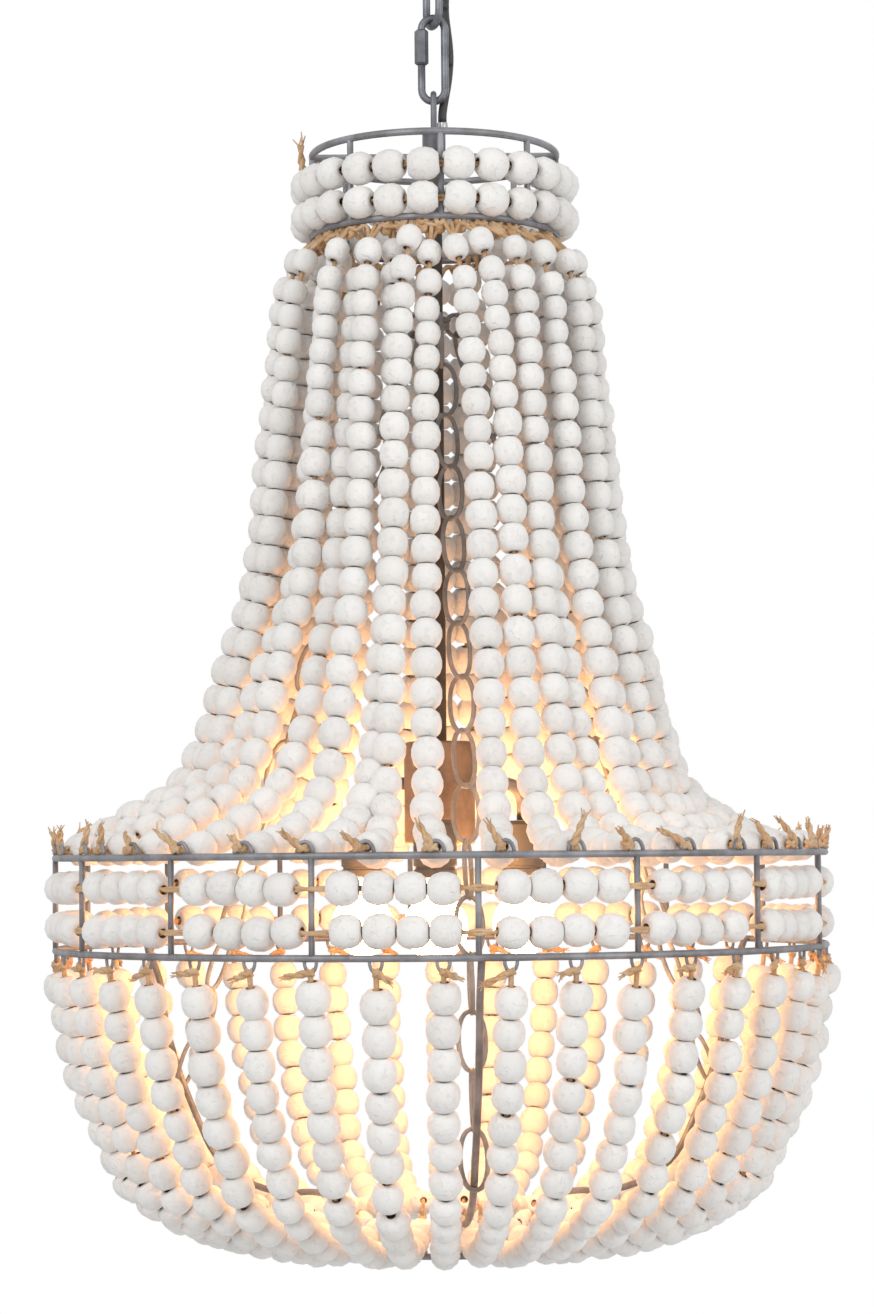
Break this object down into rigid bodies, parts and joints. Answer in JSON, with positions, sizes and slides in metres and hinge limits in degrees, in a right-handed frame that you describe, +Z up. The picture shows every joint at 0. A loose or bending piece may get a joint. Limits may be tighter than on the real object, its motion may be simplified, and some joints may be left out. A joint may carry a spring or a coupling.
{
  "type": "beaded chandelier",
  "caption": "Hanging chandelier with a wire crown and band joined by strands of wooden beads, a bowl of bead strands below, and lamps inside.",
  "frame": {"origin": "middle of the ceiling fitting's upper face, on the ceiling", "axes": "+Z up, -Y towards the front, +X to the right as seen from the front"},
  "size_m": [0.4984, 0.4984, 0.8666],
  "materials": {
    "frame_metal": "matt mid-grey powder coat",
    "inlet_metal": "bare steel ferrule",
    "holder_plastic": "dark matt plastic",
    "cable_sheath": "charcoal sheath",
    "bulb_glass": "clear warm glass, lit",
    "bead_wood": "whitewashed turned wood, matt"
  },
  "bodies": {
    "ceiling": {"ceiling_bar": "frame_metal", "ceiling_nipple": "frame_metal", "canopy": "frame_metal", "canopy_loop": "frame_metal", "cable_gland": "holder_plastic"},
    "hanging_link": {"hanging_link": "frame_metal"},
    "quick_link": {"quick_link": "frame_metal"},
    "link_sleeve": {"link_sleeve": "frame_metal"},
    "chandelier": {"stem_eye": "frame_metal", "stem_tube": "frame_metal", "crown_frame": "frame_metal", "band_frame": "frame_metal", "bottom_ring": "frame_metal", "chain_hub": "frame_metal", "canister": "frame_metal", "rib_1": "frame_metal", "rib_2": "frame_metal", "rib_3": "frame_metal", "chain_1": "frame_metal", "chain_2": "frame_metal", "chain_3": "frame_metal", "lamp_arm_1": "frame_metal", "lamp_arm_2": "frame_metal", "lamp_arm_3": "frame_metal", "cable_inlet": "inlet_metal", "lamp_holder_1": "holder_plastic", "lamp_holder_2": "holder_plastic", "lamp_holder_3": "holder_plastic", "supply_cable": "cable_sheath", "crown_beads_upper": "bead_wood", "crown_beads_lower": "bead_wood", "band_beads_upper": "bead_wood", "band_beads_lower": "bead_wood", "upper_strands_1": "bead_wood", "upper_strands_2": "bead_wood", "upper_strands_3": "bead_wood", "upper_strands_4": "bead_wood", "upper_strands_5": "bead_wood", "upper_strands_6": "bead_wood", "upper_strands_7": "bead_wood", "upper_strands_8": "bead_wood", "lower_strands_1": "bead_wood", "lower_strands_2": "bead_wood", "lower_strands_3": "bead_wood", "lower_strands_4": "bead_wood", "lower_strands_5": "bead_wood", "lower_strands_6": "bead_wood", "lower_strands_7": "bead_wood", "lower_strands_8": "bead_wood"},
    "bulb_1": {"bulb_1": "bulb_glass"},
    "bulb_2": {"bulb_2": "bulb_glass"},
    "bulb_3": {"bulb_3": "bulb_glass"}
  },
  "joints": [
    {"name": "link_swing", "type": "hinge", "parent": "ceiling", "child": "hanging_link", "pos_m": [0, 0, -0.0525], "axis": [0.9063, 0.4226, 0], "range_deg": [-20, 20], "deforming": ["supply_cable"]},
    {"name": "quick_link_swing", "type": "hinge", "parent": "hanging_link", "child": "quick_link", "pos_m": [0, 0, -0.0865], "axis": [0.4226, -0.9063, 0], "range_deg": [-20, 20], "deforming": ["supply_cable"]},
    {"name": "chandelier_swing", "type": "hinge", "parent": "quick_link", "child": "chandelier", "pos_m": [0, 0, -0.1355], "axis": [1, 0, 0], "range_deg": [-20, 20], "deforming": ["supply_cable"]},
    {"name": "sleeve_slide", "type": "slide", "parent": "quick_link", "child": "link_sleeve", "axis": [0, 0, 1], "range_m": [-0.01, 0]},
    {"name": "bulb_1_out", "type": "slide", "parent": "chandelier", "child": "bulb_1", "axis": [0, 0, 1], "range_m": [-0.03, 0]},
    {"name": "bulb_2_out", "type": "slide", "parent": "chandelier", "child": "bulb_2", "axis": [0, 0, 1], "range_m": [-0.03, 0]},
    {"name": "bulb_3_out", "type": "slide", "parent": "chandelier", "child": "bulb_3", "axis": [0, 0, 1], "range_m": [-0.03, 0]}
  ]
}
